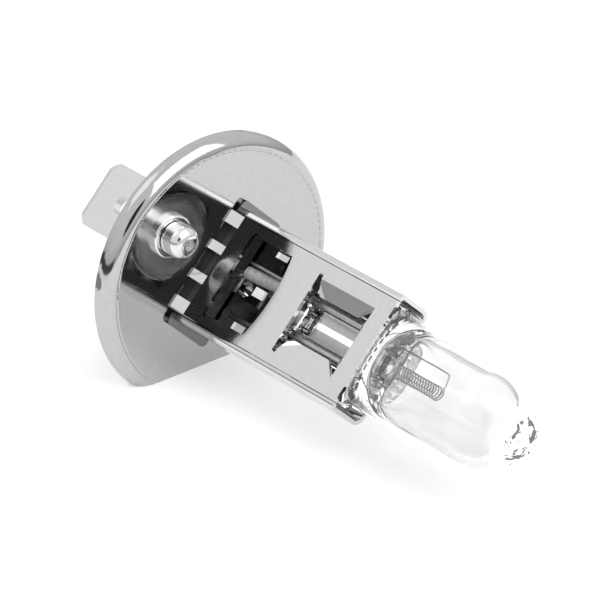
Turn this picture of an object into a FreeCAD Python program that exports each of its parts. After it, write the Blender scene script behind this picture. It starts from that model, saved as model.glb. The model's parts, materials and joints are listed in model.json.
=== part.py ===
import FreeCAD, Part
import math
import os

# Single-filament halogen headlight bulb with a round sheet-metal locating flange.
#
# Every piece is drawn in bulb coordinates: x across the flat body (width), y through the
# body (depth), z along the glass towards the tip, with z = 0 on the flange's front face,
# which is the reference plane of the lamp. export() then lays the bulb down, so that in
# the part's own frame the glass points to -Y and the flange stands on its flat chord.
# All sizes are millimetres.

V = FreeCAD.Vector

# --- driving dimensions: flange -----------------------------------------------------------
FLANGE_R = 11.6          # outer radius of the rolled rim
FLANGE_SHEET = 0.6       # sheet thickness
RIM_R = 1.2              # outer radius of the quarter round between face and rim
RIM_SKIRT = 0.35         # straight part of the rim behind the quarter round
CHORD = 7.85             # distance from the axis to the flat chord
CHORD_CORNER_R = 0.8     # rounding where the chord meets the round rim
COINED_DEPTH = 0.2       # depth of the coined seats in the front face
SEAT_MARGIN = 0.05       # clearance round the body's foot in its seat
DISH_R = (2.6, 3.9)      # coined dish around the locating pin, at its floor and at the face
DISH_DEPTH = 0.08
CREASE_RING = (10.5, 0.15, 0.09)   # groove where face meets rim: place, radius, centre height

# --- driving dimensions: locating pin -----------------------------------------------------
PIN_X = 0.0
PIN_Y = 7.0
PIN_R = 1.4
PIN_HEIGHT = 2.5
PIN_DOME_R = 0.95
PIN_NECK_R = 1.15        # neck through collar and flange
PIN_NECK_TOP = 0.55      # where the straight locating part starts
PIN_HEAD_R = 1.9         # riveted head behind the flange
PIN_HEAD = 0.4
COLLAR_R = 1.85
COLLAR_HEIGHT = 0.45
SMALL_EDGE_R = 0.2       # rounding of collar and rivet head

# --- driving dimensions: sheet-metal body -------------------------------------------------
BODY_HALF_W = 5.3        # half the outer width
BODY_HALF_D = 2.0        # half the outer depth
BODY_LENGTH = 20.1       # flange face to the mouth
SHEET = 0.35
HEM_R = 0.55             # outer radius of the hems rolled over the front plate
BACK_R = 0.95            # outer radius of the rear shell's own bends
PLATE_HALF_W = 4.7       # half the width between the lips of the two hems
SEAM = 0.07              # gap between the front plate and each hem's lip
FOOT_HALF_W = 5.9
FOOT_Y = (-2.9, 2.3)     # how far the foot flange runs each way
FOOT_THICK = 0.45
FOOT_CORNER_R = 0.5

# --- driving dimensions: openings in the body ---------------------------------------------
WINDOW_HALF_W = 3.7
WINDOW_1 = (2.8, 7.85)   # lower window, along the axis
WINDOW_1_BULGE = 0.5     # how far its far edge bows towards the glass
NOTCH_W = 0.5            # relief notches beside its near corners
NOTCH_Z = (2.95, 3.4)
WINDOW_2 = (11.4, 18.4)  # upper window, along the axis
SLOT_WIDTH = 0.45        # cross slot that frees the tongues of the upper window
FOLD_X = 3.25            # fold line of the tongues
TONGUE_EDGE_X = 2.0      # free edge of the tongues
TONGUE_DROP = 0.75       # how far the free edge is pressed into the body
TONGUE_SLANT = 1.9       # how much shorter the free edge is than the fold
TONGUE_ROOT = 0.6        # overlap of tongue and plate beside the fold
STRAP_X = (-4.07, -1.4, 1.4, 4.07)
STRAP_W = (1.1, 0.8, 0.8, 1.1)
STRAP_Z = 1.0            # height at which the straps leave the front plate
STRAP_REACH = 0.75       # how far their feet stand out from the plate
STRAP_TOE = -0.1         # where the strap's slope ends, inside the coined seat
STRAP_RISE = 0.3         # thickness of the strap, along the axis, where it leaves the plate
DIMPLE = (-0.1, 1.9)     # blind cup drawn out of the rear plate
DIMPLE_R = 0.7
DIMPLE_WALL = 0.25
DIMPLE_DEPTH = 0.9
LANCES = ((-3.2, 0.7), (0.1, 0.8), (3.6, 0.5))   # place and width of the rear plate's slots
LANCE_Z = (2.75, 4.2)

# --- driving dimensions: glass, seal and filament -----------------------------------------
GLASS_R = 3.8
GLASS_WALL = 0.75
NECK_Z = 19.8            # where the flat seal ends and the shoulder starts
SHOULDER_Z = 24.0        # where the shoulder has become the round tube
SHOULDER = ((4.6, 1.5, NECK_Z), (4.55, 1.85, 20.7), (4.1, 2.85, 22.3))   # half sizes and place
DOME_Z = 32.2
DOME_LENGTH = 4.0
DOME_FULLNESS = (0.9, 0.95)
TIP_Z = 37.5
TIP_ROOT = 1.2           # how deep the exhaust tip's root sits in the dome
TIP_R = 2.0
PLUG_R = (0.95, 2.45)    # glass plug that closes the shoulder, at its foot and its top
PLUG_Z = 21.9
PLUG_CROWN = 0.6
SEAL_START_Z = 10.9
SEAL_HALF_W = 4.3
SEAL_HALF_D = 0.8
RIB_X = 1.35             # ribs along the flat seal
RIB_R = 1.0
SEAL_EDGE_R = 0.4
FILAMENT_Z = 25.0        # light centre, from the reference plane
FILAMENT_LENGTH = 4.8
FILAMENT_R = 0.62
FILAMENT_CORE_R = 0.42
LEAD_R = 0.1             # inner leads, inside the glass
OUTER_LEAD_R = 0.27      # outer leads, inside the body
SLEEVE_WALL = 0.3
LEAD_OVERLAP = 0.8       # how far each inner lead runs along its foil
OUTER_LEAD_X = 1.65
OUTER_LEAD_TOP_Z = 17.0  # the outer leads run along the foils' outer edges
SEAL_EXIT_Z = 9.6        # first bend of the outer leads, below the seal
LIVE_BENDS = ((1.25, 7.0), (1.05, 4.2))   # across and height, inside the sleeve
LIVE_BEND_Y = 0.2        # how far the lower of those two stands towards the window
LIVE_END = ((1.0, 2.9), (0.3, 2.2), (0, 1.4))   # along the face of the contact strip
STAY_X = 1.8             # stay wire beside the sleeve
STAY_Y = 0.7
STAY_R = 0.13
STAY_Z = (3.1, 12.0)
GROUND_END_X = -2.6      # where the ground lead lies against the rear plate
GROUND_WELD_Z = (6.8, 2.2)
NUGGET_R = 0.45
NUGGET_THICK = 0.2
FOOT_WELD_X = (-3.4, 0, 3.4)
FOOT_WELD_Y = -2.45
FOOT_WELD = (0.4, 0.3, 0.12)   # radius at foot and top, height
RETURN_LEAD_X = 1.7
SHORT_LEAD_X = -1.6
FOIL_X = 1.0
FOIL = (1.4, 0.06, 6.0)
FOIL_Z = 12.6

# --- driving dimensions: terminal ---------------------------------------------------------
BLADE_W = 6.0
BLADE_THICK = 0.8
BLADE_X = 0.8
BLADE_END_Z = -17.3
BLADE_SHOULDER_Z = -5.4
BLADE_CHAMFER = (0.8, 1.1)
BLADE_BEVEL = (0.25, 0.6)   # depth and length of the bevel on each side of its end
BLADE_HOLE_R = 1.1
BLADE_HOLE_Z = -13.1
TANG_W = 3.0
TANG_END_Z = -1.6
BLOCK_HALF = (4.9, 3.0)
BLOCK_Z = (-5.6, -0.6)
BLOCK_CORNER_R = 1.2
BLOCK_EDGE_R = 0.4
RIVET_Z = -3.4
RIVET_R = 0.8
RIVET_HEAD_R = 1.3
RIVET_HEAD = 0.35
RIVET_BORE_R = 0.4
BUSH_HALF = (4.3, 1.4)
BUSH_Z = (-0.6, 0.9)
BUSH_CORNER_R = 0.5
STRIP_HALF_W = 0.9
STRIP_THICK = 0.3
STRIP_TOP_Z = 2.6


# --- helpers ------------------------------------------------------------------------------
def box(x0, x1, y0, y1, z0, z1):
    """Box between two corners."""
    return Part.makeBox(x1 - x0, y1 - y0, z1 - z0, V(x0, y0, z0))


def rod(radius, start, end):
    """Straight round rod between two points."""
    run = end - start
    return Part.makeCylinder(radius, run.Length, start, run)


def prism(points, direction):
    """Flat polygon pushed along a direction."""
    wire = Part.makePolygon(list(points) + [points[0]])
    return Part.Face(wire).extrude(direction)


def rounded_plate(half_x, y0, y1, z0, z1, radius):
    """Plate across the axis with its four corners rounded."""
    plate = box(-half_x, half_x, y0, y1, z0, z1)
    corners = [edge for edge in plate.Edges if abs(edge.tangentAt(edge.FirstParameter).z) > 0.99]
    return plate.makeFillet(radius, corners)


def revolved(edges):
    """Closed profile in the xz plane, turned about the axis."""
    return Part.Face(Part.Wire(edges)).revolve(V(0, 0, 0), V(0, 0, 1), 360)


def line(x0, z0, x1, z1):
    return Part.LineSegment(V(x0, 0, z0), V(x1, 0, z1)).toShape()


def arc(x0, z0, x1, z1, x2, z2):
    return Part.Arc(V(x0, 0, z0), V(x1, 0, z1), V(x2, 0, z2)).toShape()


def curve(points):
    """Smooth profile curve through points in the xz plane."""
    spline = Part.BSplineCurve()
    spline.interpolate([V(x, 0, z) for x, z in points])
    return spline.toShape()


def bent_wire(points, radius):
    """Round wire along straight runs, with a ball at each bend."""
    wire = rod(radius, points[0], points[1])
    for start, end in zip(points[1:], points[2:]):
        wire = wire.fuse(rod(radius, start, end)).fuse(Part.makeSphere(radius, start))
    return wire.removeSplitter()


# --- flange -------------------------------------------------------------------------------
def rim_profile(radius, corner, z_face, z_back):
    """Solid disc whose front edge is rounded back into a skirt."""
    middle = corner * math.sin(math.pi / 4)
    edges = [
        line(0, z_face, radius - corner, z_face),
        arc(radius - corner, z_face, radius - corner + middle, z_face - corner + middle,
            radius, z_face - corner),
        line(radius, z_face - corner, radius, z_back),
        line(radius, z_back, 0, z_back),
        line(0, z_back, 0, z_face),
    ]
    return revolved(edges)


def chord_side(distance):
    """Everything beyond the flat chord, which faces away from the pin at 45 degrees."""
    size = 3 * FLANGE_R
    waste = box(-size, size, -size, -distance, -size, size)
    waste.rotate(V(0, 0, 0), V(0, 0, 1), -45)
    return waste


def foot_seat(z0, z1, margin):
    """Outline of the coined seat that takes the body's foot flange and straps."""
    reach = BODY_HALF_D + STRAP_REACH + margin
    corner = FOOT_CORNER_R + margin
    return rounded_plate(FOOT_HALF_W + margin, FOOT_Y[0] - margin, reach, z0, z1, corner)


def flange_outline(z0, z1):
    """Round flange with its flat chord and the two rounded corners beside it."""
    blank = Part.makeCylinder(FLANGE_R, z1 - z0, V(0, 0, z0)).cut(chord_side(CHORD))
    chord_ends = [edge for edge in blank.Edges
                  if abs(edge.tangentAt(edge.FirstParameter).z) > 0.99
                  and edge.CenterOfMass.x + edge.CenterOfMass.y < -CHORD]
    return blank.makeFillet(CHORD_CORNER_R, chord_ends)


def pin_dish():
    """What is coined away round the pin: a flat floor with a soft S-shaped side."""
    floor_r, face_r = DISH_R
    width = face_r - floor_r
    top = 2 * COINED_DEPTH
    side = curve([
        (floor_r, -DISH_DEPTH),
        (floor_r + 0.25 * width, -0.85 * DISH_DEPTH),
        (floor_r + 0.75 * width, -0.15 * DISH_DEPTH),
        (face_r, 0.001),
    ])
    dish = revolved([
        line(0, -DISH_DEPTH, floor_r, -DISH_DEPTH),
        side,
        line(face_r, 0.001, face_r, top),
        line(face_r, top, 0, top),
        line(0, top, 0, -DISH_DEPTH),
    ])
    dish.translate(V(PIN_X, PIN_Y, 0))
    return dish


def flange_disc():
    skirt_z = -RIM_R - RIM_SKIRT
    crease_r, groove_r, groove_z = CREASE_RING
    disc = rim_profile(FLANGE_R, RIM_R, 0, skirt_z)
    disc = disc.cut(Part.makeTorus(crease_r, groove_r, V(0, 0, groove_z)))
    disc = disc.cut(rim_profile(FLANGE_R - FLANGE_SHEET, RIM_R - FLANGE_SHEET, -FLANGE_SHEET, skirt_z - 1))
    disc = disc.common(flange_outline(skirt_z - 1, 1))
    disc = disc.cut(pin_dish()).cut(foot_seat(-COINED_DEPTH, 1, SEAT_MARGIN))
    disc = disc.cut(Part.makeCylinder(PIN_NECK_R, 4, V(PIN_X, PIN_Y, -2)))
    return disc.cut(rounded_plate(BUSH_HALF[0], -BUSH_HALF[1], BUSH_HALF[1], -2, 2, BUSH_CORNER_R))


def pin_collar():
    base = V(PIN_X, PIN_Y, -DISH_DEPTH)
    ring = Part.makeCylinder(COLLAR_R, COLLAR_HEIGHT + DISH_DEPTH, base)
    top = [edge for edge in ring.Edges if edge.BoundBox.ZMin > COLLAR_HEIGHT - 0.01]
    ring = ring.makeFillet(SMALL_EDGE_R, top)
    return ring.cut(Part.makeCylinder(PIN_NECK_R, 4, V(PIN_X, PIN_Y, -2)))


def locating_pin():
    """Domed pin on a thinner neck that is riveted over behind the flange."""
    tail = -FLANGE_SHEET
    post = Part.makeCylinder(PIN_R, PIN_HEIGHT - PIN_NECK_TOP, V(PIN_X, PIN_Y, PIN_NECK_TOP))
    crown = [edge for edge in post.Edges if edge.BoundBox.ZMin > PIN_HEIGHT - 0.01]
    post = post.makeFillet(PIN_DOME_R, crown)
    neck = Part.makeCylinder(PIN_NECK_R, PIN_NECK_TOP - tail, V(PIN_X, PIN_Y, tail))
    head = Part.makeCylinder(PIN_HEAD_R, PIN_HEAD, V(PIN_X, PIN_Y, tail - PIN_HEAD))
    rim = [edge for edge in head.Edges if edge.BoundBox.ZMax < tail - PIN_HEAD + 0.01]
    return post.fuse(neck).fuse(head.makeFillet(SMALL_EDGE_R, rim)).removeSplitter()


# --- body ---------------------------------------------------------------------------------
def tongue(side):
    """Tongue of the upper window, folded along x = FOLD_X and pressed into the body."""
    top = BODY_HALF_D
    z0 = WINDOW_2[0] + SLOT_WIDTH
    z1 = WINDOW_2[1]
    corners = [
        V(side * (FOLD_X + TONGUE_ROOT), top, z0),
        V(side * FOLD_X, top, z0),
        V(side * TONGUE_EDGE_X, top - TONGUE_DROP, z0),
        V(side * TONGUE_EDGE_X, top - TONGUE_DROP - SHEET, z0),
        V(side * FOLD_X, top - SHEET, z0),
        V(side * (FOLD_X + TONGUE_ROOT), top - SHEET, z0),
    ]
    blade = prism(corners, V(0, 0, z1 - z0))
    slant = prism([
        V(side * FOLD_X, -5, z1),
        V(side * TONGUE_EDGE_X, -5, z1 - TONGUE_SLANT),
        V(side * (TONGUE_EDGE_X - 1), -5, z1 - TONGUE_SLANT),
        V(side * (TONGUE_EDGE_X - 1), -5, z1 + 1),
        V(side * FOLD_X, -5, z1 + 1),
    ], V(0, 10, 0))
    return blade.cut(slant)


def tongue_window(y0, y1):
    """Upper window as cut through one plate, with the cross slot at its lower end."""
    z0, z1 = WINDOW_2
    opening = box(-FOLD_X, FOLD_X, y0, y1, z0, z1)
    r = SLOT_WIDTH / 2
    slot = box(-WINDOW_HALF_W + r, WINDOW_HALF_W - r, y0, y1, z0, z0 + SLOT_WIDTH)
    for side in (-1, 1):
        end = V(side * (WINDOW_HALF_W - r), y0, z0 + r)
        slot = slot.fuse(Part.makeCylinder(r, y1 - y0, end, V(0, 1, 0)))
    return opening.fuse(slot)


def lower_window(y0, y1):
    """Lower window: straight sides, a bowed far edge and relief notches at the near corners."""
    z0, z1 = WINDOW_1
    w = WINDOW_HALF_W
    edges = [
        Part.LineSegment(V(-w, y0, z0), V(w, y0, z0)).toShape(),
        Part.LineSegment(V(w, y0, z0), V(w, y0, z1)).toShape(),
        Part.Arc(V(w, y0, z1), V(0, y0, z1 + WINDOW_1_BULGE), V(-w, y0, z1)).toShape(),
        Part.LineSegment(V(-w, y0, z1), V(-w, y0, z0)).toShape(),
    ]
    opening = Part.Face(Part.Wire(edges)).extrude(V(0, y1 - y0, 0))
    for x in (-w, w):
        opening = opening.fuse(box(x - NOTCH_W / 2, x + NOTCH_W / 2, y0, y1, *NOTCH_Z))
    return opening


def front_strap(x, width):
    """Strap at the foot of the front plate, sloping outwards to the flange."""
    top = BODY_HALF_D
    foot = top + STRAP_REACH
    base = -COINED_DEPTH
    profile = [
        V(x - width / 2, top, STRAP_Z),
        V(x - width / 2, foot, STRAP_TOE),
        V(x - width / 2, foot, base),
        V(x - width / 2, foot - SHEET, base),
        V(x - width / 2, top - SHEET, STRAP_Z - STRAP_RISE),
        V(x - width / 2, top - SHEET, STRAP_Z),
    ]
    return prism(profile, V(width, 0, 0))


def front_shell():
    inner = BODY_HALF_D - SHEET
    half_w = PLATE_HALF_W - SEAM
    plate = box(-half_w, half_w, inner, BODY_HALF_D, STRAP_Z, BODY_LENGTH)
    plate = plate.cut(lower_window(inner - 1, BODY_HALF_D + 1))
    plate = plate.cut(tongue_window(inner - 1, BODY_HALF_D + 1))
    for side in (-1, 1):
        plate = plate.fuse(tongue(side))
    for x, width in zip(STRAP_X, STRAP_W):
        plate = plate.fuse(front_strap(x, width))
    return plate.removeSplitter()


def channel(half_w, half_d, hem_r, back_r, z0, z1):
    """Bar along the axis, its long edges rounded by hem_r in front and back_r behind."""
    bar = box(-half_w, half_w, -half_d, half_d, z0, z1)
    for side, radius in ((1, hem_r), (-1, back_r)):
        long_edges = [edge for edge in bar.Edges
                      if abs(edge.tangentAt(edge.FirstParameter).z) > 0.99
                      and abs(edge.CenterOfMass.y - side * half_d) < 0.01]
        bar = bar.makeFillet(radius, long_edges)
    return bar


def dimple(radius, y0, y1):
    """Round bar through the rear plate, where its blind cup is drawn."""
    x, z = DIMPLE
    return Part.makeCylinder(radius, y1 - y0, V(x, y0, z), V(0, 1, 0))


def rear_openings():
    """Dimple bore, three lance slots and the upper window of the rear plate."""
    y0 = -BODY_HALF_D - 1
    y1 = -BODY_HALF_D + SHEET + 0.2
    cuts = dimple(DIMPLE_R, DIMPLE_WALL - DIMPLE_DEPTH - BODY_HALF_D, y1)
    for x, width in LANCES:
        cuts = cuts.fuse(box(x - width / 2, x + width / 2, y0, y1, *LANCE_Z))
    return cuts.fuse(tongue_window(y0, y1))


def rear_shell():
    """Rear plate with side walls whose edges are hemmed over the front plate, and a foot."""
    shell = channel(BODY_HALF_W, BODY_HALF_D, HEM_R, BACK_R, -COINED_DEPTH, BODY_LENGTH)
    hollow = channel(BODY_HALF_W - SHEET, BODY_HALF_D - SHEET, HEM_R - SHEET, BACK_R - SHEET,
                     -1, BODY_LENGTH + 1)
    foot = rounded_plate(FOOT_HALF_W, FOOT_Y[0], FOOT_Y[1], -COINED_DEPTH, FOOT_THICK - COINED_DEPTH,
                         FOOT_CORNER_R)
    cup = dimple(DIMPLE_R + DIMPLE_WALL, -BODY_HALF_D - DIMPLE_DEPTH, -BODY_HALF_D + SHEET / 2)
    rear = shell.fuse(foot).fuse(cup).cut(hollow)
    rear = rear.cut(box(-PLATE_HALF_W, PLATE_HALF_W, 0, 5, -1, BODY_LENGTH + 1))
    rear = rear.cut(rear_openings())
    for x, width in zip(STRAP_X, STRAP_W):
        rear = rear.cut(front_strap(x, width))
    mirror = V(0, 1, 0)
    for side in (-1, 1):
        rear = rear.fuse(tongue(side).mirror(V(0, 0, 0), mirror))
    return rear.removeSplitter()


# --- glass --------------------------------------------------------------------------------
def ellipse_wire(half_x, half_y, z):
    """Elliptical section of the glass, its long axis across the body."""
    ellipse = Part.Ellipse(V(0, 0, z), half_x, half_y)
    return Part.Wire(ellipse.toShape())


def envelope_outer():
    """Shoulder from the flat seal to the round tube, then the tube and its dome."""
    sections = [ellipse_wire(*section) for section in SHOULDER]
    sections.append(Part.Wire(Part.makeCircle(GLASS_R, V(0, 0, SHOULDER_Z))))
    shoulder = Part.makeLoft(sections, True)
    dome = revolved([
        line(0, SHOULDER_Z, GLASS_R, SHOULDER_Z),
        line(GLASS_R, SHOULDER_Z, GLASS_R, DOME_Z),
        curve(dome_points(GLASS_R, DOME_LENGTH)),
        line(0, DOME_Z + DOME_LENGTH, 0, SHOULDER_Z),
    ])
    return shoulder.fuse(dome)


def dome_points(radius, length):
    """Points of a dome, rounder than a half ellipse, from the tube to the axis."""
    points = []
    for step in range(7):
        angle = math.radians(15 * step)
        x = radius * math.cos(angle) ** DOME_FULLNESS[0]
        points.append((x, DOME_Z + length * math.sin(angle) ** DOME_FULLNESS[1]))
    return points


def envelope_inner():
    radius = GLASS_R - GLASS_WALL
    length = DOME_LENGTH - 1.1 * GLASS_WALL
    foot_r, top_r = PLUG_R
    return revolved([
        line(0, NECK_Z - 1, foot_r, NECK_Z - 1),
        line(foot_r, NECK_Z - 1, foot_r, NECK_Z),
        line(foot_r, NECK_Z, top_r, PLUG_Z),
        curve([(top_r, PLUG_Z), (top_r + 0.35, PLUG_Z + 0.8), (radius, SHOULDER_Z + 0.6)]),
        line(radius, SHOULDER_Z + 0.6, radius, DOME_Z),
        curve(dome_points(radius, length)),
        line(0, DOME_Z + length, 0, NECK_Z - 1),
    ])


def glass_envelope():
    return envelope_outer().cut(envelope_inner())


def exhaust_tip():
    """Sealed-off stub of the exhaust tube, melted into a low button on the dome."""
    z = DOME_Z + DOME_LENGTH - TIP_ROOT
    stub = revolved([
        line(0, z, TIP_R, z),
        curve([(TIP_R, z), (0.97 * TIP_R, z + 1.0), (0.87 * TIP_R, TIP_Z - 0.75),
               (0.55 * TIP_R, TIP_Z - 0.12), (0, TIP_Z)]),
        line(0, TIP_Z, 0, z),
    ])
    return stub.cut(envelope_outer())


def seal_body():
    """Pinched glass: flat slab, two ribs and the tapered plug that closes the shoulder."""
    slab = box(-SEAL_HALF_W, SEAL_HALF_W, -SEAL_HALF_D, SEAL_HALF_D, SEAL_START_Z, NECK_Z)
    long_edges = [edge for edge in slab.Edges if abs(edge.tangentAt(edge.FirstParameter).z) > 0.99]
    slab = slab.makeFillet(SEAL_EDGE_R, long_edges)
    for side in (-1, 1):
        rib_x = side * RIB_X
        slab = slab.fuse(rod(RIB_R, V(rib_x, 0, SEAL_START_Z), V(rib_x, 0, NECK_Z)))
    foot_r, top_r = PLUG_R
    crown = PLUG_Z + PLUG_CROWN
    plug = revolved([
        line(0, NECK_Z, foot_r, NECK_Z),
        line(foot_r, NECK_Z, top_r, PLUG_Z),
        curve([(top_r, PLUG_Z), (top_r * 0.8, PLUG_Z + 0.3), (top_r * 0.45, crown - 0.06), (0, crown)]),
        line(0, crown, 0, NECK_Z),
    ])
    return slab.fuse(plug)


# --- wires --------------------------------------------------------------------------------
def filament_coil():
    """Envelope of the tungsten coil: a thin-walled tube on the lamp axis."""
    z0 = FILAMENT_Z - FILAMENT_LENGTH / 2
    coil = Part.makeCylinder(FILAMENT_R, FILAMENT_LENGTH, V(0, 0, z0))
    return coil.cut(Part.makeCylinder(FILAMENT_CORE_R, FILAMENT_LENGTH, V(0, 0, z0)))


def return_lead():
    top = FILAMENT_Z + FILAMENT_LENGTH / 2
    return bent_wire([
        V(RETURN_LEAD_X, 0, FOIL_Z + FOIL[2] - LEAD_OVERLAP),
        V(RETURN_LEAD_X, 0, top - 0.4),
        V(RETURN_LEAD_X - 0.35, 0, top),
        V(0, 0, top + 0.5),
        V(-0.5, 0, top + LEAD_R),
    ], LEAD_R)


def short_lead():
    bottom = FILAMENT_Z - FILAMENT_LENGTH / 2
    return bent_wire([
        V(SHORT_LEAD_X, 0, FOIL_Z + FOIL[2] - LEAD_OVERLAP),
        V(SHORT_LEAD_X, 0, bottom - 0.5),
        V(-0.9, 0, bottom + 0.2),
        V(-0.5, 0, bottom - LEAD_R),
    ], LEAD_R)


def foil(x):
    """Molybdenum foil that makes the gas-tight joint inside the seal."""
    width, thick, length = FOIL
    centre = V(x - width / 2, -thick / 2, FOIL_Z)
    return Part.makeBox(width, thick, length, centre)


def live_route():
    """Bends of the live lead, from the foil down to the contact strip."""
    strip_side = STRIP_THICK / 2 + OUTER_LEAD_R
    (upper_x, upper_z), (lower_x, lower_z) = LIVE_BENDS
    route = [
        V(OUTER_LEAD_X, 0, OUTER_LEAD_TOP_Z),
        V(OUTER_LEAD_X, 0, SEAL_EXIT_Z),
        V(upper_x, 0, upper_z),
        V(lower_x, LIVE_BEND_Y, lower_z),
    ]
    return route + [V(x, strip_side, z) for x, z in LIVE_END]


def outer_lead_live():
    return bent_wire(live_route(), OUTER_LEAD_R)


def lead_sleeve():
    """Insulating sleeve slipped over the live lead."""
    return bent_wire(live_route()[1:5], OUTER_LEAD_R + SLEEVE_WALL).cut(outer_lead_live())


def outer_lead_ground():
    wall = -(BODY_HALF_D - SHEET - OUTER_LEAD_R)
    return bent_wire([
        V(-OUTER_LEAD_X, 0, OUTER_LEAD_TOP_Z),
        V(-OUTER_LEAD_X, 0, SEAL_EXIT_Z),
        V(GROUND_END_X, wall, GROUND_WELD_Z[0]),
        V(GROUND_END_X, wall, GROUND_WELD_Z[1]),
    ], OUTER_LEAD_R)


def stay_wire():
    """Straight wire held by the seal, beside the sleeve."""
    return rod(STAY_R, V(STAY_X, STAY_Y, STAY_Z[0]), V(STAY_X, STAY_Y, STAY_Z[1]))


def weld_nuggets():
    """Spot welds: ground lead to rear plate, and foot flange to flange disc."""
    inner_wall = -(BODY_HALF_D - SHEET)
    below_lead = GROUND_WELD_Z[1] - OUTER_LEAD_R - NUGGET_R + 0.17
    spots = [Part.makeCylinder(NUGGET_R, NUGGET_THICK, V(GROUND_END_X, inner_wall, below_lead), V(0, 1, 0))]
    foot_r, top_r, height = FOOT_WELD
    for x in FOOT_WELD_X:
        spots.append(Part.makeCone(foot_r, top_r, height, V(x, FOOT_WELD_Y, FOOT_THICK - COINED_DEPTH)))
    return Part.makeCompound(spots)


# --- terminal -----------------------------------------------------------------------------
def terminal_blade():
    half = BLADE_W / 2
    cut_x, cut_z = BLADE_CHAMFER
    y = -BLADE_THICK / 2
    outline = [
        V(BLADE_X - half, y, BLADE_SHOULDER_Z),
        V(BLADE_X - half, y, BLADE_END_Z + cut_z),
        V(BLADE_X - half + cut_x, y, BLADE_END_Z),
        V(BLADE_X + half - cut_x, y, BLADE_END_Z),
        V(BLADE_X + half, y, BLADE_END_Z + cut_z),
        V(BLADE_X + half, y, BLADE_SHOULDER_Z),
        V(TANG_W / 2, y, BLADE_SHOULDER_Z),
        V(TANG_W / 2, y, TANG_END_Z),
        V(-TANG_W / 2, y, TANG_END_Z),
        V(-TANG_W / 2, y, BLADE_SHOULDER_Z),
    ]
    blade = prism(outline, V(0, BLADE_THICK, 0))
    depth, length = BLADE_BEVEL
    for side in (-1, 1):
        face_y = side * BLADE_THICK / 2
        wedge = prism([
            V(BLADE_X - half, face_y, BLADE_END_Z),
            V(BLADE_X - half, face_y, BLADE_END_Z + length),
            V(BLADE_X - half, face_y - side * depth, BLADE_END_Z),
        ], V(BLADE_W, 0, 0))
        blade = blade.cut(wedge)
    blade = blade.cut(Part.makeCylinder(BLADE_HOLE_R, 4, V(BLADE_X, -2, BLADE_HOLE_Z), V(0, 1, 0)))
    return blade.cut(Part.makeCylinder(RIVET_R, 4, V(0, -2, RIVET_Z), V(0, 1, 0)))


def rivet_holes():
    return Part.makeCylinder(RIVET_R, 10, V(0, -5, RIVET_Z), V(0, 1, 0))


def insulator_block():
    """Moulded block behind the flange that carries the blade."""
    half_x, half_y = BLOCK_HALF
    block = rounded_plate(half_x, -half_y, half_y, BLOCK_Z[0], BLOCK_Z[1], BLOCK_CORNER_R)
    back = [edge for edge in block.Edges if edge.BoundBox.ZMax < BLOCK_Z[0] + 0.01]
    block = block.makeFillet(BLOCK_EDGE_R, back)
    slot = box(-TANG_W / 2, TANG_W / 2, -BLADE_THICK / 2, BLADE_THICK / 2, BLOCK_Z[0] - 1, TANG_END_Z)
    notch = box(BLADE_X - BLADE_W / 2, BLADE_X + BLADE_W / 2, -BLADE_THICK / 2, BLADE_THICK / 2,
                BLOCK_Z[0] - 1, BLADE_SHOULDER_Z)
    strip = box(-STRIP_HALF_W, STRIP_HALF_W, -STRIP_THICK / 2, STRIP_THICK / 2, TANG_END_Z - 0.1, 1)
    return block.cut(slot).cut(notch).cut(strip).cut(rivet_holes())


def terminal_rivet():
    """Tubular rivet through block and tang, with a flat head on each side."""
    half_y = BLOCK_HALF[1]
    shank = Part.makeCylinder(RIVET_R, 2 * half_y, V(0, -half_y, RIVET_Z), V(0, 1, 0))
    for side in (-1, 1):
        head = Part.makeCylinder(RIVET_HEAD_R, RIVET_HEAD, V(0, side * half_y, RIVET_Z), V(0, side, 0))
        shank = shank.fuse(head)
    bore = Part.makeCylinder(RIVET_BORE_R, 10, V(0, -5, RIVET_Z), V(0, 1, 0))
    return shank.cut(bore).removeSplitter()


def contact_strip():
    """Flat strip from the tang, through the insulators, to the live lead."""
    return box(-STRIP_HALF_W, STRIP_HALF_W, -STRIP_THICK / 2, STRIP_THICK / 2, TANG_END_Z, STRIP_TOP_Z)


def insulator_bush():
    """Insulating bush in the flange opening, around the contact strip."""
    bush = rounded_plate(BUSH_HALF[0], -BUSH_HALF[1], BUSH_HALF[1], BUSH_Z[0], BUSH_Z[1], BUSH_CORNER_R)
    return bush.cut(contact_strip())


# --- assembly -----------------------------------------------------------------------------
def seal_with_cavities(parts):
    """The seal is moulded round the foils and leads, so it is cut by them."""
    seal = seal_body()
    for name in ("foil_live", "foil_ground", "return_lead", "short_lead",
                 "outer_lead_live", "outer_lead_ground", "stay_wire"):
        seal = seal.cut(parts[name])
    return seal


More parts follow.
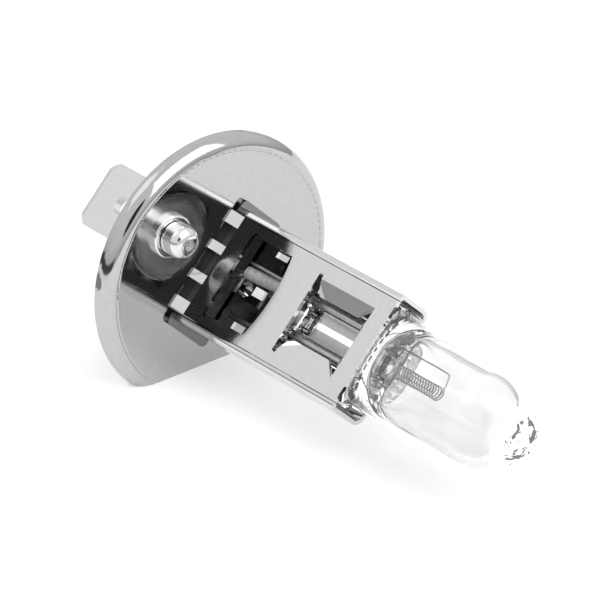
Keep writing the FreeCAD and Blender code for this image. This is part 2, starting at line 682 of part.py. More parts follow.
def build():
    parts = {
        "flange_disc": flange_disc(),
        "locating_pin": locating_pin(),
        "pin_collar": pin_collar(),
        "front_shell": front_shell(),
        "rear_shell": rear_shell(),
        "glass_envelope": glass_envelope(),
        "exhaust_tip": exhaust_tip(),
        "filament_coil": filament_coil(),
        "return_lead": return_lead(),
        "short_lead": short_lead(),
        "outer_lead_live": outer_lead_live(),
        "outer_lead_ground": outer_lead_ground(),
        "lead_sleeve": lead_sleeve(),
        "stay_wire": stay_wire(),
        "weld_nuggets": weld_nuggets(),
        "contact_strip": contact_strip(),
        "insulator_bush": insulator_bush(),
        "insulator_block": insulator_block(),
        "terminal_blade": terminal_blade(),
        "terminal_rivet": terminal_rivet(),
    }
    wires = [parts[name] for name in ("return_lead", "outer_lead_live")]
    parts["foil_live"] = foil(FOIL_X).cut(Part.makeCompound(wires))
    wires = [parts[name] for name in ("short_lead", "outer_lead_ground")]
    parts["foil_ground"] = foil(-FOIL_X).cut(Part.makeCompound(wires))
    inner_leads = Part.makeCompound([parts["return_lead"], parts["short_lead"]])
    parts["glass_envelope"] = parts["glass_envelope"].cut(inner_leads)
    parts["pinch_seal"] = seal_with_cavities(parts)
    return parts


def export(parts):
    """Lay the bulb down (glass to -Y, chord below) and write one file per piece."""
    s = math.sqrt(0.5)
    # columns: where the width, depth and glass directions point in the part's frame
    lay_down = FreeCAD.Matrix(
        s, -s, 0, 0,
        0, 0, -1, 0,
        s, s, 0, 0,
        0, 0, 0, 1)
    os.makedirs("parts", exist_ok=True)
    for name, shape in parts.items():
        placed = shape.copy()
        placed.Placement = FreeCAD.Placement(lay_down).multiply(placed.Placement)
        placed.exportStep(f"parts/{name}.step")
        print(f"{name:20s} solids {len(placed.Solids)} valid {placed.isValid()} "
              f"volume {placed.Volume:9.3f} mm3")


export(build())
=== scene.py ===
"""Looks of the halogen headlight bulb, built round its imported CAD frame.

The glass points to -Y and the flange stands on its flat chord. Sizes are metres.
"""
import json
import math

import bmesh
import bpy
from mathutils import Matrix, Vector, noise


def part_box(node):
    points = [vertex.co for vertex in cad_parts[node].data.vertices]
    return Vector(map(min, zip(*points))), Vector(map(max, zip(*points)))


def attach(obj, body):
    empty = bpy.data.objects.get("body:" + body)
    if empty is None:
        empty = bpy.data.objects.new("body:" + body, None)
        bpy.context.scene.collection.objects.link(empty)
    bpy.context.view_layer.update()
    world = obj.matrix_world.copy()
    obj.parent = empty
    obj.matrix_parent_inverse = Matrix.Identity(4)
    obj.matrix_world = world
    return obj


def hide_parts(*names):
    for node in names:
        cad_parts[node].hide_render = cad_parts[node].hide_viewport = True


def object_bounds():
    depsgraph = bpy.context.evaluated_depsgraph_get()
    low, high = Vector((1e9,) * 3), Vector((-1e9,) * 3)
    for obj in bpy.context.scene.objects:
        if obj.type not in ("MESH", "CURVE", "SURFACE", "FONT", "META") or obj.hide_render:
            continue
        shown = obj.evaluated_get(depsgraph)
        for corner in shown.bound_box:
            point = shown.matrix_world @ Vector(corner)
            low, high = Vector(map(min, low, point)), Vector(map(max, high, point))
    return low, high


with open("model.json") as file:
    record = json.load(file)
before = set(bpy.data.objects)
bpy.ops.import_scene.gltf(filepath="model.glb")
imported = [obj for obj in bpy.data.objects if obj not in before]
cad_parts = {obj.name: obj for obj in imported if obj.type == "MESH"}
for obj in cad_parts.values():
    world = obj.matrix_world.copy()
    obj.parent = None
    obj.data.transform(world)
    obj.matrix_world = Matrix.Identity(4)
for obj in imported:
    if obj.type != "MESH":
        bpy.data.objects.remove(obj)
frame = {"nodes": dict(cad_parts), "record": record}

MM = 0.001
cad_box = [list(corner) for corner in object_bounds()]

# --- the lamp's own directions in the row frame ------------------------------------------
ROOT_HALF = math.sqrt(0.5)
ACROSS = Vector((ROOT_HALF, 0, ROOT_HALF))    # x of the lamp: across the flat body
OUT = Vector((-ROOT_HALF, 0, ROOT_HALF))      # y of the lamp: out of the windowed face
ALONG = Vector((0, -1, 0))                    # z of the lamp: towards the glass tip
LAMP = Matrix((ACROSS, OUT, ALONG)).transposed().to_4x4()


def place(x, y, z):
    """A point in lamp millimetres, as a point of the row frame in metres."""
    return (ACROSS * x + OUT * y + ALONG * z) * MM


def lamp_range(node, axis):
    """How far a CAD node reaches along one lamp axis, in millimetres."""
    points = [v.co for v in frame["nodes"][node].data.vertices]
    along = [point.dot(axis) / MM for point in points]
    return min(along), max(along)


# --- camera and stage --------------------------------------------------------------------
CAMERA_DISTANCE = 0.3761
CAMERA_AZIMUTH = -38.765
CAMERA_ELEVATION = 27.845
CAMERA_ROLL = -1.05
CAMERA_AIM = Vector((0.004274, -0.004880, -0.002137))
CAMERA_LENS = 278.9


def back_direction(azimuth, elevation):
    """Unit vector from the lamp towards the camera."""
    a, e = math.radians(azimuth), math.radians(elevation)
    return Vector((math.sin(a) * math.cos(e), -math.cos(a) * math.cos(e), math.sin(e)))


def make_camera():
    back = back_direction(CAMERA_AZIMUTH, CAMERA_ELEVATION)
    data = bpy.data.cameras.new("camera")
    data.lens = CAMERA_LENS
    data.sensor_width = 36.0
    data.clip_start = 0.01
    data.clip_end = 20.0
    camera = bpy.data.objects.new("camera", data)
    camera.location = CAMERA_AIM + back * CAMERA_DISTANCE
    camera.rotation_mode = "QUATERNION"
    facing = (-back).to_track_quat("-Z", "Y").to_matrix()
    roll = Matrix.Rotation(math.radians(CAMERA_ROLL), 3, "Z")
    camera.rotation_quaternion = (facing @ roll).to_quaternion()
    bpy.context.collection.objects.link(camera)
    bpy.context.scene.camera = camera


def main_shader(material):
    nodes = material.node_tree.nodes
    return next(node for node in nodes if node.type == "BSDF_PRINCIPLED")


def new_material(name):
    material = bpy.data.materials.new(name)
    material.use_nodes = True
    return material, material.node_tree, main_shader(material)


def add_node(tree, kind, **values):
    """A shader node with its sockets set by name."""
    node = tree.nodes.new(kind)
    for key, value in values.items():
        if hasattr(node, key):
            setattr(node, key, value)
        else:
            node.inputs[key.replace("_", " ")].default_value = value
    return node


def link(tree, source, socket, target, entry):
    tree.links.new(source.outputs[socket], target.inputs[entry])


def map_range(tree, source, socket, span, result):
    """Maps a socket's value from span to result, both (low, high)."""
    node = add_node(tree, "ShaderNodeMapRange")
    node.inputs["From Min"].default_value, node.inputs["From Max"].default_value = span
    node.inputs["To Min"].default_value, node.inputs["To Max"].default_value = result
    link(tree, source, socket, node, "Value")
    return node


def ramp(tree, stops):
    """Colour ramp through (position, grey or colour) stops."""
    node = tree.nodes.new("ShaderNodeValToRGB")
    elements = node.color_ramp.elements
    while len(elements) < len(stops):
        elements.new(0.5)
    for element, (position, value) in zip(elements, stops):
        colour = (value, value, value) if isinstance(value, float) else value
        element.position = position
        element.color = (*colour, 1.0)
    return node


# (sine of the elevation, grey) stops.
SKY = [(0.0, 0.5), (0.12, 0.72), (0.3, 0.93), (0.5, 1.0), (1.0, 1.0)]


def make_world():
    """White tent: greyest at the horizon all round and below it, white above 30 degrees."""
    world = bpy.data.worlds.new("tent")
    world.use_nodes = True
    bpy.context.scene.world = world
    tree = world.node_tree
    background = tree.nodes["Background"]
    background.inputs["Strength"].default_value = 1.0
    coords = add_node(tree, "ShaderNodeTexCoord")
    height = add_node(tree, "ShaderNodeSeparateXYZ")
    link(tree, coords, "Generated", height, "Vector")
    sky = ramp(tree, SKY)
    link(tree, height, "Z", sky, "Fac")
    link(tree, sky, "Color", background, "Color")


FLOOR_Z = cad_box[0][2] - 0.00002
FLOOR_SIZE = 3.0
FLOOR_GLOW = 0.4


def make_floor():
    """Pale paper floor. It glows a little, which weakens the lamp's shadow on it."""
    bpy.ops.mesh.primitive_plane_add(size=FLOOR_SIZE, location=(0, 0, FLOOR_Z))
    floor = bpy.context.object
    floor.name = "floor"
    material, tree, shader = new_material("floor_paper")
    grain = add_node(tree, "ShaderNodeTexNoise", Scale=900.0, Detail=3.0)
    coords = add_node(tree, "ShaderNodeTexCoord")
    link(tree, coords, "Object", grain, "Vector")
    tint = ramp(tree, [(0.35, 0.66), (0.65, 0.68)])
    link(tree, grain, "Fac", tint, "Fac")
    link(tree, tint, "Color", shader, "Base Color")
    shader.inputs["Roughness"].default_value = 0.9
    shader.inputs["Specular IOR Level"].default_value = 0.0
    shader.inputs["Emission Color"].default_value = (1.0, 1.0, 1.0, 1.0)
    shader.inputs["Emission Strength"].default_value = FLOOR_GLOW
    floor.data.materials.append(material)


CARD_EDGE_POINTS = 48
CAMERA_CARD_RADIUS = 0.085
CAMERA_CARD_SHIFT = 0.02
CAMERA_CARDS = (("dark_card", 0.01, 0.02), ("grey_card", 0.02, 0.22))    # gap and grey
FLOOR_CARD_RADIUS = 0.03
FLOOR_CARD_PLACE = (-0.058, 0.044)
FLOOR_CARD_GREY = 0.27
CARD_LIFT = 0.0002


def round_card(name, radius):
    bpy.ops.mesh.primitive_circle_add(vertices=CARD_EDGE_POINTS, radius=radius, fill_type="NGON")
    card = bpy.context.object
    card.name = name
    return card


def make_camera_cards():
    """Cards behind the camera: reflections see the dark one, refracted light the grey one."""
    back = back_direction(CAMERA_AZIMUTH, CAMERA_ELEVATION)
    for name, gap, grey in CAMERA_CARDS:
        card = round_card(name, CAMERA_CARD_RADIUS)
        card.location = back * (CAMERA_DISTANCE + gap) + ACROSS * CAMERA_CARD_SHIFT
        card.rotation_mode = "QUATERNION"
        card.rotation_quaternion = back.to_track_quat("Z", "Y")
        finish_card(card, grey)
        card.visible_transmission = name == "grey_card"
        card.visible_glossy = name == "dark_card"


def make_floor_card():
    """Grey card on the floor beside the lamp, seen only in reflections."""
    card = round_card("floor_card", FLOOR_CARD_RADIUS)
    card.location = (*FLOOR_CARD_PLACE, cad_box[0][2] + CARD_LIFT)
    finish_card(card, FLOOR_CARD_GREY)


def object_from(bm, name):
    """Puts a built mesh into the scene as an object."""
    mesh = bpy.data.meshes.new(name)
    bm.to_mesh(mesh)
    bm.free()
    obj = bpy.data.objects.new(name, mesh)
    bpy.context.collection.objects.link(obj)
    return obj


HORIZON_RADIUS = 0.45
HORIZON_HEIGHTS = (-0.03, 0.05)
HORIZON_START = -46.0         # azimuth in degrees
HORIZON_STEP = -3.5
HORIZON_POSTS = 29
HORIZON_GREY = 0.05


def make_horizon():
    """Dark strip along part of the horizon, seen only in reflections."""
    bm = bmesh.new()
    bottom, top = HORIZON_HEIGHTS
    posts = []
    for step in range(HORIZON_POSTS):
        azimuth = math.radians(HORIZON_START + HORIZON_STEP * step)
        x, y = HORIZON_RADIUS * math.sin(azimuth), -HORIZON_RADIUS * math.cos(azimuth)
        posts.append((bm.verts.new((x, y, bottom)), bm.verts.new((x, y, top))))
    for (low, high), (next_low, next_high) in zip(posts, posts[1:]):
        bm.faces.new((low, next_low, next_high, high))
    finish_card(object_from(bm, "horizon"), HORIZON_GREY)


WALL_RADIUS = 1.4
WALL_TOP = 0.8
WALL_FOOT_DROP = 0.001
WALL_SIDES = 64
WALL_GREY = 0.9


def make_backdrop():
    """White glowing wall all round, so that no grey horizon shows in low views."""
    bm = bmesh.new()
    foot = cad_box[0][2] - WALL_FOOT_DROP
    low, high = [], []
    for step in range(WALL_SIDES):
        angle = 2 * math.pi * step / WALL_SIDES
        x, y = WALL_RADIUS * math.sin(angle), WALL_RADIUS * math.cos(angle)
        low.append(bm.verts.new((x, y, foot)))
        high.append(bm.verts.new((x, y, WALL_TOP)))
    for k in range(WALL_SIDES):
        after = (k + 1) % WALL_SIDES
        bm.faces.new((low[k], low[after], high[after], high[k]))
    wall = object_from(bm, "backdrop")
    finish_card(wall, WALL_GREY)
    shader = main_shader(wall.data.materials[0])
    shader.inputs["Emission Color"].default_value = (1.0, 1.0, 1.0, 1.0)
    shader.inputs["Emission Strength"].default_value = 1.0
    wall.visible_glossy = False
    wall.visible_camera = True


def finish_card(card, grey):
    """Matte grey, and seen only in reflections unless the caller changes that afterwards."""
    material, _, shader = new_material(card.name + "_paint")
    shader.inputs["Base Color"].default_value = (grey, grey, grey, 1.0)
    shader.inputs["Roughness"].default_value = 1.0
    card.data.materials.append(material)
    card.visible_camera = False
    card.visible_shadow = False
    card.visible_diffuse = False
    card.visible_transmission = False


LIGHTS = (                    # name, place, side in metres, watts
    ("soft_top", Vector((-0.25, 0.25, 0.55)), 0.35, 0.25),
    ("soft_rim", Vector((0.09, -0.29, 0.38)), 0.45, 1.3),
)


def make_lights():
    """Two soft square lights, each aimed at the origin."""
    for name, where, size, power in LIGHTS:
        data = bpy.data.lights.new(name, "AREA")
        data.size = size
        data.energy = power
        lamp = bpy.data.objects.new(name, data)
        lamp.location = where
        lamp.rotation_mode = "QUATERNION"
        lamp.rotation_quaternion = where.to_track_quat("Z", "Y")
        bpy.context.collection.objects.link(lamp)


# --- materials ---------------------------------------------------------------------------
STEEL_NOISE = (0.3, 0.7)      # the range of noise that a tint or roughness is spread over
def steel(name, base, roughness, speckle=0.05, grain_mm=0.35, bump=0.03):
    """Satin sheet steel: fine uneven roughness, faint mottling and tiny dents."""
    material, tree, shader = new_material(name)
    coords = add_node(tree, "ShaderNodeTexCoord")
    mottle = add_node(tree, "ShaderNodeTexNoise", Scale=1.0 / (grain_mm * MM * 4), Detail=6.0)
    fine = add_node(tree, "ShaderNodeTexNoise", Scale=1.0 / (grain_mm * MM), Detail=8.0)
    for texture in (mottle, fine):
        texture.inputs["Roughness"].default_value = 0.65
        link(tree, coords, "Object", texture, "Vector")
    tint = ramp(tree, list(zip(STEEL_NOISE, (base - speckle, base + speckle))))
    link(tree, mottle, "Fac", tint, "Fac")
    link(tree, tint, "Color", shader, "Base Color")
    spread = (roughness * 0.7, roughness * 1.3)
    rough = map_range(tree, fine, "Fac", STEEL_NOISE, spread)
    link(tree, rough, "Result", shader, "Roughness")
    dents = add_node(tree, "ShaderNodeBump", Strength=bump)
    dents.inputs["Distance"].default_value = 0.02 * MM
    link(tree, fine, "Fac", dents, "Height")
    link(tree, dents, "Normal", shader, "Normal")
    shader.inputs["Metallic"].default_value = 1.0
    return material


# Tones along the glass: the lamp millimetres they span, then (position, tone) stops.
GLASS_TINT = (20.5, 36.5, ((0.0, 1.0), (0.19, 0.91), (0.75, 0.9), (1.0, 0.8)))
TIP_GLOW = (35.2, 36.2, ((0.0, 0.0), (1.0, 0.2)))
GLASS_HAZE = 0.02


def quartz(name):
    """Clear quartz with a grey tint beyond the seal.

    The tip also glows faintly. That lightens dark patches whose cause isn't known, and isn't a
    property of the glass.
    """
    material, tree, shader = new_material(name)
    shader.inputs["Transmission Weight"].default_value = 1.0
    shader.inputs["IOR"].default_value = 1.46
    coords = add_node(tree, "ShaderNodeTexCoord")
    split = add_node(tree, "ShaderNodeSeparateXYZ")
    link(tree, coords, "Object", split, "Vector")
    for socket, (start, end, stops) in (("Base Color", GLASS_TINT), ("Emission Color", TIP_GLOW)):
        along = map_range(tree, split, "Y", (-start * MM, -end * MM), (0.0, 1.0))
        tone = ramp(tree, stops)
        link(tree, along, "Result", tone, "Fac")
        link(tree, tone, "Color", shader, socket)
    shader.inputs["Emission Strength"].default_value = 1.0
    haze = add_node(tree, "ShaderNodeTexNoise", Scale=400.0, Detail=4.0)
    link(tree, coords, "Object", haze, "Vector")
    rough = map_range(tree, haze, "Fac", (0.0, 1.0), (0.0, GLASS_HAZE))
    link(tree, rough, "Result", shader, "Roughness")
    return material


def moulded(name, dark, light, roughness):
    """Moulded insulator: fine mottled grain."""
    material, tree, shader = new_material(name)
    coords = add_node(tree, "ShaderNodeTexCoord")
    grain = add_node(tree, "ShaderNodeTexNoise", Scale=2500.0, Detail=5.0)
    link(tree, coords, "Object", grain, "Vector")
    tint = ramp(tree, [(0.3, dark), (0.7, light)])
    link(tree, grain, "Fac", tint, "Fac")
    link(tree, tint, "Color", shader, "Base Color")
    shader.inputs["Roughness"].default_value = roughness
    dents = add_node(tree, "ShaderNodeBump", Strength=0.2)
    dents.inputs["Distance"].default_value = 0.03 * MM
    link(tree, grain, "Fac", dents, "Height")
    link(tree, dents, "Normal", shader, "Normal")
    return material


DISH_DULL_MM = (2.7, 3.6)     # distance from the pin over which the extra roughness fades
DISH_ROUGHNESS = 0.16
# Painted shade on the rear shell: where the darkening of its base colour towards the foot starts
# and is full, and how dark it gets.
FOOT_SHADE_MM = (-1.2, -0.5)  # Y where the rear shell's darkening starts and is full
FOOT_SHADE = 0.3


def coin_dish(material):
    """Makes the dish round the pin rougher than the sheet, to match the photograph's tone."""
    tree = material.node_tree
    shader = main_shader(material)
    pin_low, pin_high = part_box("pin_collar")
    centre = (Vector(pin_low) + Vector(pin_high)) / 2
    coords = add_node(tree, "ShaderNodeTexCoord")
    offset = add_node(tree, "ShaderNodeVectorMath", operation="SUBTRACT")
    offset.inputs[1].default_value = centre
    flat = add_node(tree, "ShaderNodeVectorMath", operation="MULTIPLY")
    flat.inputs[1].default_value = (1 / MM, 0.0, 1 / MM)
    reach = add_node(tree, "ShaderNodeVectorMath", operation="LENGTH")
    link(tree, coords, "Object", offset, 0)
    link(tree, offset, "Vector", flat, 0)
    link(tree, flat, "Vector", reach, 0)
    dull = map_range(tree, reach, "Value", DISH_DULL_MM, (DISH_ROUGHNESS, 0.0))
    old = shader.inputs["Roughness"].links[0].from_socket
    total = add_node(tree, "ShaderNodeMath", operation="ADD")
    tree.links.new(old, total.inputs[0])
    link(tree, dull, "Result", total, 1)
    link(tree, total, "Value", shader, "Roughness")
    return material


def shaded_foot(material):
    """Darkens the rear shell towards its foot, to match the photograph's tone."""
    tree = material.node_tree
    shader = main_shader(material)
    coords = add_node(tree, "ShaderNodeTexCoord")
    split = add_node(tree, "ShaderNodeSeparateXYZ")
    link(tree, coords, "Object", split, "Vector")
    start, full = FOOT_SHADE_MM
    # Painted shade: the base colour is multiplied down towards the foot, where the shell meets the
    # flange.
    shade = map_range(tree, split, "Y", (start * MM, full * MM), (1.0, FOOT_SHADE))
    plain = shader.inputs["Base Color"].links[0].from_socket
    darker = add_node(tree, "ShaderNodeVectorMath", operation="MULTIPLY")
    tree.links.new(plain, darker.inputs[0])
    link(tree, shade, "Result", darker, 1)
    link(tree, darker, "Vector", shader, "Base Color")
    return material


SHEET = {"roughness": 0.09, "speckle": 0.02, "grain_mm": 0.12, "bump": 0.02}
MATERIALS = {
    "flange_steel": coin_dish(steel("flange_steel", 0.47, **SHEET)),
    "body_steel": steel("body_steel", 0.64, **SHEET),
    "rear_shell": shaded_foot(steel("rear_shell_steel", 0.64, **SHEET)),
    "pin_steel": steel("pin_steel", 0.7, 0.17, speckle=0.05),
    "terminal_metal": steel("terminal_metal", 0.66, 0.26, speckle=0.012, grain_mm=0.15, bump=0.006),
    "tungsten": steel("tungsten", 0.36, 0.2, speckle=0.03, grain_mm=0.05),
    "molybdenum": steel("molybdenum", 0.45, 0.3, grain_mm=0.05),
    "quartz_glass": quartz("quartz_glass"),
    "sleeve_fibre": moulded("sleeve_fibre", 0.25, 0.4, 0.8),
    "insulator": moulded("insulator", 0.05, 0.09, 0.6),
}


def dress_cad_nodes():
    slots = {part["node"]: part["material_slot"] for part in frame["record"]["subparts"]}
    for name, node in frame["nodes"].items():
        node.data.materials.clear()
        node.data.materials.append(MATERIALS.get(name) or MATERIALS[slots[name]])


# --- filament and leads ------------------------------------------------------------------
COIL_TURNS = 15.5
COIL_WIRE_R = 0.052
LEAD_WIRE_R = 0.07
COIL_STEPS = 14
OUTER_LEAD_R = 0.27
SLEEVE_WALL = 0.28


def wire(name, points, radius_mm, slot):
    """Round wire along a smooth curve through lamp-millimetre points."""
    data = bpy.data.curves.new(name, "CURVE")
    data.dimensions = "3D"
    data.bevel_depth = radius_mm * MM
    data.bevel_resolution = 4
    data.use_fill_caps = True
    spline = data.splines.new("NURBS")
    spline.points.add(len(points) - 1)
    for point, (x, y, z) in zip(spline.points, points):
        point.co = (*place(x, y, z), 1.0)
    spline.order_u = 3
    spline.use_endpoint_u = True
    spline.resolution_u = 12
    obj = bpy.data.objects.new(name, data)
    obj.data.materials.append(MATERIALS[slot])
    bpy.context.collection.objects.link(obj)
    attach(obj, "root")
    return obj


def make_filament():
    low, high = lamp_range("filament_coil", ALONG)
    radius = lamp_range("filament_coil", ACROSS)[1] - COIL_WIRE_R
    points = []
    count = int(COIL_TURNS * COIL_STEPS)
    for index in range(count + 1):
        angle = 2 * math.pi * index / COIL_STEPS
        z = low + COIL_WIRE_R + (high - low - 2 * COIL_WIRE_R) * index / count
        points.append((radius * math.cos(angle + math.pi), radius * math.sin(angle + math.pi), z))
    coil = wire("filament", points, COIL_WIRE_R, "tungsten")
    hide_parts("filament_coil")


def make_leads():
    """Thin leads inside the glass: one runs past the coil and back to its far end."""
    low, high = lamp_range("filament_coil", ALONG)
    far_x = lamp_range("return_lead", ACROSS)[1] - LEAD_WIRE_R
    near_x = lamp_range("short_lead", ACROSS)[0] + LEAD_WIRE_R
    foot = lamp_range("return_lead", ALONG)[0]
    back = wire("return_wire", [
        (far_x, 0, foot), (far_x, 0, foot + 3), (far_x + 0.03, 0, high - 1.5),
        (far_x, 0, high - 0.45), (far_x - 0.02, 0, high - 0.2), (far_x - 0.2, 0, high - 0.1),
        (0.9, 0, high + 0.12), (0.2, 0.1, high + 0.25), (-0.35, 0.1, high + 0.12),
        (-0.52, 0, high - 0.15)], LEAD_WIRE_R, "tungsten")
    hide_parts("return_lead")
    near = wire("short_wire", [
        (near_x, 0, foot), (near_x, 0, low - 1.5), (near_x, 0, low - 0.5),
        (near_x + 0.1, 0.05, low - 0.1), (near_x + 0.5, 0.1, low + 0.05), (-0.7, 0.05, low),
        (-0.55, 0, low + 0.06)], LEAD_WIRE_R, "tungsten")
    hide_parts("short_lead")


def make_outer_leads():
    """Wires and sleeve between the seal and the foot of the body, bent as one smooth curve."""
    low_z, top_z = lamp_range("outer_lead_live", ALONG)
    live = wire("live_wire", [
        (1.65, 0, top_z), (1.65, 0, 12.0), (1.65, 0, 9.6), (1.25, 0, 7.0), (1.05, 0.2, 4.2),
        (0.95, 0.4, 2.9), (0.45, 0.42, 2.3), (0.1, 0.42, low_z)], OUTER_LEAD_R, "molybdenum")
    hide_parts("outer_lead_live")
    sleeve = wire("sleeve", [
        (1.64, 0, 9.5), (1.55, 0, 8.7), (1.25, 0, 7.0), (1.08, 0.15, 4.9), (1.0, 0.35, 3.1)],
        OUTER_LEAD_R + SLEEVE_WALL, "sleeve_fibre")
    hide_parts("lead_sleeve")


# --- glass -------------------------------------------------------------------------------
# Lamp millimetres. Pairs of places along the axis are where a change begins and ends.
AROUND = 240                  # points round each section
SEAL = (4.3, 0.8)             # half width and half depth of the flat seal
SHOULDER = (4.6, 1.5)
TUBE_R = 3.8
BORE_R = 3.05
SEAL_POWER = 5.0              # superellipse powers: 2 is round, more is squarer
SHOULDER_POWER = 2.4
TUBE_POWER = 2.0
MOUTH = (17.6, 19.8)          # the seal widens into the shoulder
TUBE_WIDENS = 19.6            # the shoulder starts to become the tube, across and in depth
TUBE_DEEPENS = 19.2
SHOULDER_END = 24.0
FOOT_SCALE = 0.72             # size of the seal's rounded foot, and its length
FOOT_LENGTH = 0.4
FLAT_SIDE = 0.25              # sine of the angle beyond which a point is on a flat side
RIB_X = 1.65                  # ribs over the leads: place, half width, height
RIB_HALF_WIDTH = 0.62
RIB_HEIGHT = 0.34
RIDGE_HALF_WIDTH = 0.5
RIDGE_HEIGHT = 0.22
RIDGE_START = (12.4, 12.9)
RELIEF_END = (18.4, 19.2)
JAW_REACH = 3.1               # jaw marks at the mouth: half width of the row, pitch, height
JAW_PITCH = 0.78
JAW_HEIGHT = 0.13
JAW_RISE = (20.0, 20.2)
JAW_FALL = (21.15, 21.45)
STREAK_HEIGHT = 0.09
STREAK_RISE = (20.9, 21.3)
STREAK_FALL = (22.6, 23.2)
CAVITY_FLOOR = 22.1
FLOOR_ROUNDING = 0.7
BORE_FLATNESS = 0.06          # how much shallower than wide the bore is at its floor
BORE_ROUNDS_OVER = 2.5
BORE_LUMPS = 0.003
DOME_START = 32.2
DOME_LENGTH = 4.3
BORE_DOME_START = DOME_START - 0.6
BORE_DOME_LENGTH = 3.6
STUB_R = 1.95                 # melted stub of the exhaust tube
STUB_LENGTH = 1.9
STUB_NECK = 0.12              # fillet between dome and stub, and how far it reaches
STUB_NECK_REACH = 0.35
DRAWN_WAVE = 0.01
MELT = (2.9, 1.5)             # distances before the tip's end where melting starts and is full
FACET_HEIGHT = 0.24
CRINKLE_HEIGHT = 0.08
MAX_SWELL = 0.06
SWELL_CORE = 0.6
DIP_RADIUS = 1.6


def smoothstep(low, high, value):
    t = min(max((value - low) / (high - low), 0.0), 1.0)
    return t * t * (3 - 2 * t)


def dome_radius(radius, start, length, z):
    """Radius of a rounded end, a little fuller than an ellipse."""
    t = min(max((z - start) / length, 0.0), 1.0)
    return radius * max(1 - t ** 2.15, 0.0) ** 0.5


def seal_relief(x, z):
    """Extra depth of the seal: ribs over the leads, a middle ridge, jaw marks and streaks."""
    def bump(s):
        return math.sqrt(1 - s * s) if abs(s) < 1 else 0.0
    ribs = RIB_HEIGHT * bump((abs(x) - RIB_X) / RIB_HALF_WIDTH)
    middle = RIDGE_HEIGHT * bump(x / RIDGE_HALF_WIDTH) * smoothstep(*RIDGE_START, z)
    fade = 1 - smoothstep(*RELIEF_END, z)
    jaws = 0.0
    if abs(x) < JAW_REACH:
        phase = abs((x / JAW_PITCH) % 1.0 - 0.5) * 2
        band = smoothstep(*JAW_RISE, z) * (1 - smoothstep(*JAW_FALL, z))
        jaws = JAW_HEIGHT * (1 - phase ** 4) * band
    streak = smoothstep(*STREAK_RISE, z) * (1 - smoothstep(*STREAK_FALL, z))
    jaws += STREAK_HEIGHT * streak * noise.noise(Vector((x * 0.45, 0.0, z * 2.6)))
    return (ribs + middle) * fade + jaws


def outer_section(z, top_z):
    """Points of the glass's outer surface at one place along the axis."""
    half_x, half_y = SEAL
    power = SEAL_POWER
    to_mouth = smoothstep(*MOUTH, z)
    half_x += (SHOULDER[0] - half_x) * to_mouth
    half_y += (SHOULDER[1] - half_y) * to_mouth
    power += (SHOULDER_POWER - power) * to_mouth
    to_tube = smoothstep(TUBE_WIDENS, SHOULDER_END, z)
    half_x += (TUBE_R - half_x) * to_tube
    half_y += (TUBE_R - half_y) * smoothstep(TUBE_DEEPENS, SHOULDER_END, z)
    power += (TUBE_POWER - power) * to_tube
    if z > DOME_START:
        half_x = half_y = tip_radius(z, top_z)
    start = lamp_range("pinch_seal", ALONG)[0]
    foot = FOOT_SCALE + (1 - FOOT_SCALE) * math.sqrt(smoothstep(start, start + FOOT_LENGTH, z))
    points = []
    for step in range(AROUND):
        angle = 2 * math.pi * step / AROUND
        c, s = math.cos(angle), math.sin(angle)
        x = half_x * math.copysign(abs(c) ** (2 / power), c)
        y = half_y * math.copysign(abs(s) ** (2 / power), s)
        if abs(s) > FLAT_SIDE:
            y += math.copysign(seal_relief(x, z), s)
        points.append(wrinkle(x * foot, y * foot, z, top_z))
    return points


def tip_radius(z, top_z):
    """Dome of the tube, running into the melted stub of the exhaust tube."""
    dome = dome_radius(TUBE_R, DOME_START, DOME_LENGTH, z)
    along_stub = max((z - top_z + STUB_LENGTH) / STUB_LENGTH, 0.0)
    stub = STUB_R * max(1 - along_stub ** 2.6, 0.0) ** 0.5
    return max(dome, stub) + STUB_NECK * math.exp(-((dome - stub) / STUB_NECK_REACH) ** 2)


def wrinkle(x, y, z, top_z):
    """Lumpy melted surface of the tip; everywhere else a faint waviness."""
    place_in_noise = Vector((x * 0.35, y * 0.35, z * 0.16))
    wave = noise.noise(place_in_noise) * DRAWN_WAVE
    melt = smoothstep(top_z - MELT[0], top_z - MELT[1], z)
    facet_noise = noise.noise(Vector((x, y, z)) * 1.05 + Vector((3.1, 1.7, 0.4)))
    facet = facet_noise * FACET_HEIGHT - FACET_HEIGHT / 2
    crinkle = noise.fractal(Vector((x, y, z)) * 2.4, 1.0, 2.0, 2) * CRINKLE_HEIGHT
    reach = math.hypot(x, y)
    swell = 1 + (wave + melt * min(facet + crinkle, MAX_SWELL)) / max(reach, SWELL_CORE)
    dip = melt * min(facet + crinkle, 0.0) * smoothstep(DIP_RADIUS, 0.0, reach)
    return x * swell, y * swell, z + dip


def bore_section(z):
    """Points of the cavity at one place along the axis: flat floor, bore and round end."""
    radius = dome_radius(BORE_R, BORE_DOME_START, BORE_DOME_LENGTH, z)
    rise = min((z - CAVITY_FLOOR) / FLOOR_ROUNDING, 1.0)
    radius *= (1 - (1 - rise) ** 4) ** 0.4
    rounding = smoothstep(CAVITY_FLOOR, CAVITY_FLOOR + BORE_ROUNDS_OVER, z)
    stretch = 1 - BORE_FLATNESS * (1 - rounding)
    points = []
    for step in range(AROUND):
        angle = 2 * math.pi * step / AROUND
        c, s = math.cos(angle), math.sin(angle)
        lump = 1 + BORE_LUMPS * noise.noise(Vector((3 * c, 3 * s, z * 0.5)))
        points.append((radius * c * lump, radius * stretch * s * lump, z))
    return points


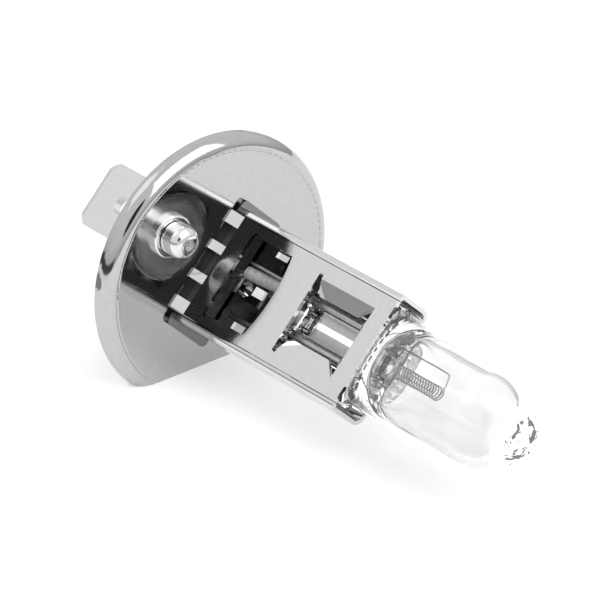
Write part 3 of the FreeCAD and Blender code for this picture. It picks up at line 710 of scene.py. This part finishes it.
def skin(bm, sections, start, end, inward):
    """Closed skin through sections, with a point at each end."""
    rings = [[bm.verts.new(place(*point)) for point in section] for section in sections]
    first, last = bm.verts.new(place(*start)), bm.verts.new(place(*end))
    faces = []
    for ring, following in zip(rings, rings[1:]):
        for k in range(AROUND):
            after = (k + 1) % AROUND
            faces.append([ring[k], ring[after], following[after], following[k]])
    for k in range(AROUND):
        after = (k + 1) % AROUND
        faces.append([first, rings[0][after], rings[0][k]])
        faces.append([last, rings[-1][k], rings[-1][after]])
    for corners in faces:
        face = bm.faces.new(reversed(corners) if inward else corners)
        face.smooth = True


def steps(*spans):
    """Places along the axis: (from, to, step) spans in turn."""
    places = []
    for low, high, step in spans:
        count = max(int(round((high - low) / step)), 1)
        places += [low + (high - low) * k / count for k in range(count)]
    return places


def make_glass():
    """The whole glass as one piece: an outer skin, and the cavity as an inner one.

    Sections are closest together where the surface changes quickly.
    """
    bottom = lamp_range("pinch_seal", ALONG)[0]
    top = lamp_range("exhaust_tip", ALONG)[1] - 0.02
    bm = bmesh.new()
    outer = steps((bottom, bottom + 0.5, 0.08), (bottom + 0.5, 18.4, 0.25), (18.4, 20.4, 0.07),
                  (20.4, 24.2, 0.16), (24.2, DOME_START, 0.4), (DOME_START, top - 3.2, 0.14),
                  (top - 3.2, top - 0.25, 0.07), (top - 0.25, top, 0.03))
    skin(bm, [outer_section(z, top) for z in outer[:-1]], (0, 0, bottom), (0, 0, top), False)
    end = DOME_START + 3.0
    inner = steps((CAVITY_FLOOR, CAVITY_FLOOR + 0.3, 0.03), (CAVITY_FLOOR + 0.3, 24.5, 0.12),
                  (24.5, BORE_DOME_START, 0.4), (BORE_DOME_START, end - 0.3, 0.12),
                  (end - 0.3, end, 0.03))
    skin(bm, [bore_section(z) for z in inner[1:]], (0, 0, CAVITY_FLOOR), (0, 0, end), True)
    glass = object_from(bm, "glass_bulb")
    glass.data.materials.append(MATERIALS["quartz_glass"])
    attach(glass, "root")
    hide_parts("glass_envelope", "exhaust_tip", "pinch_seal")


bpy.context.scene.view_settings.view_transform = "Standard"
make_camera()
make_world()
make_floor()
make_camera_cards()
make_floor_card()
make_horizon()
make_backdrop()
make_lights()
dress_cad_nodes()
make_filament()
make_leads()
make_outer_leads()
make_glass()
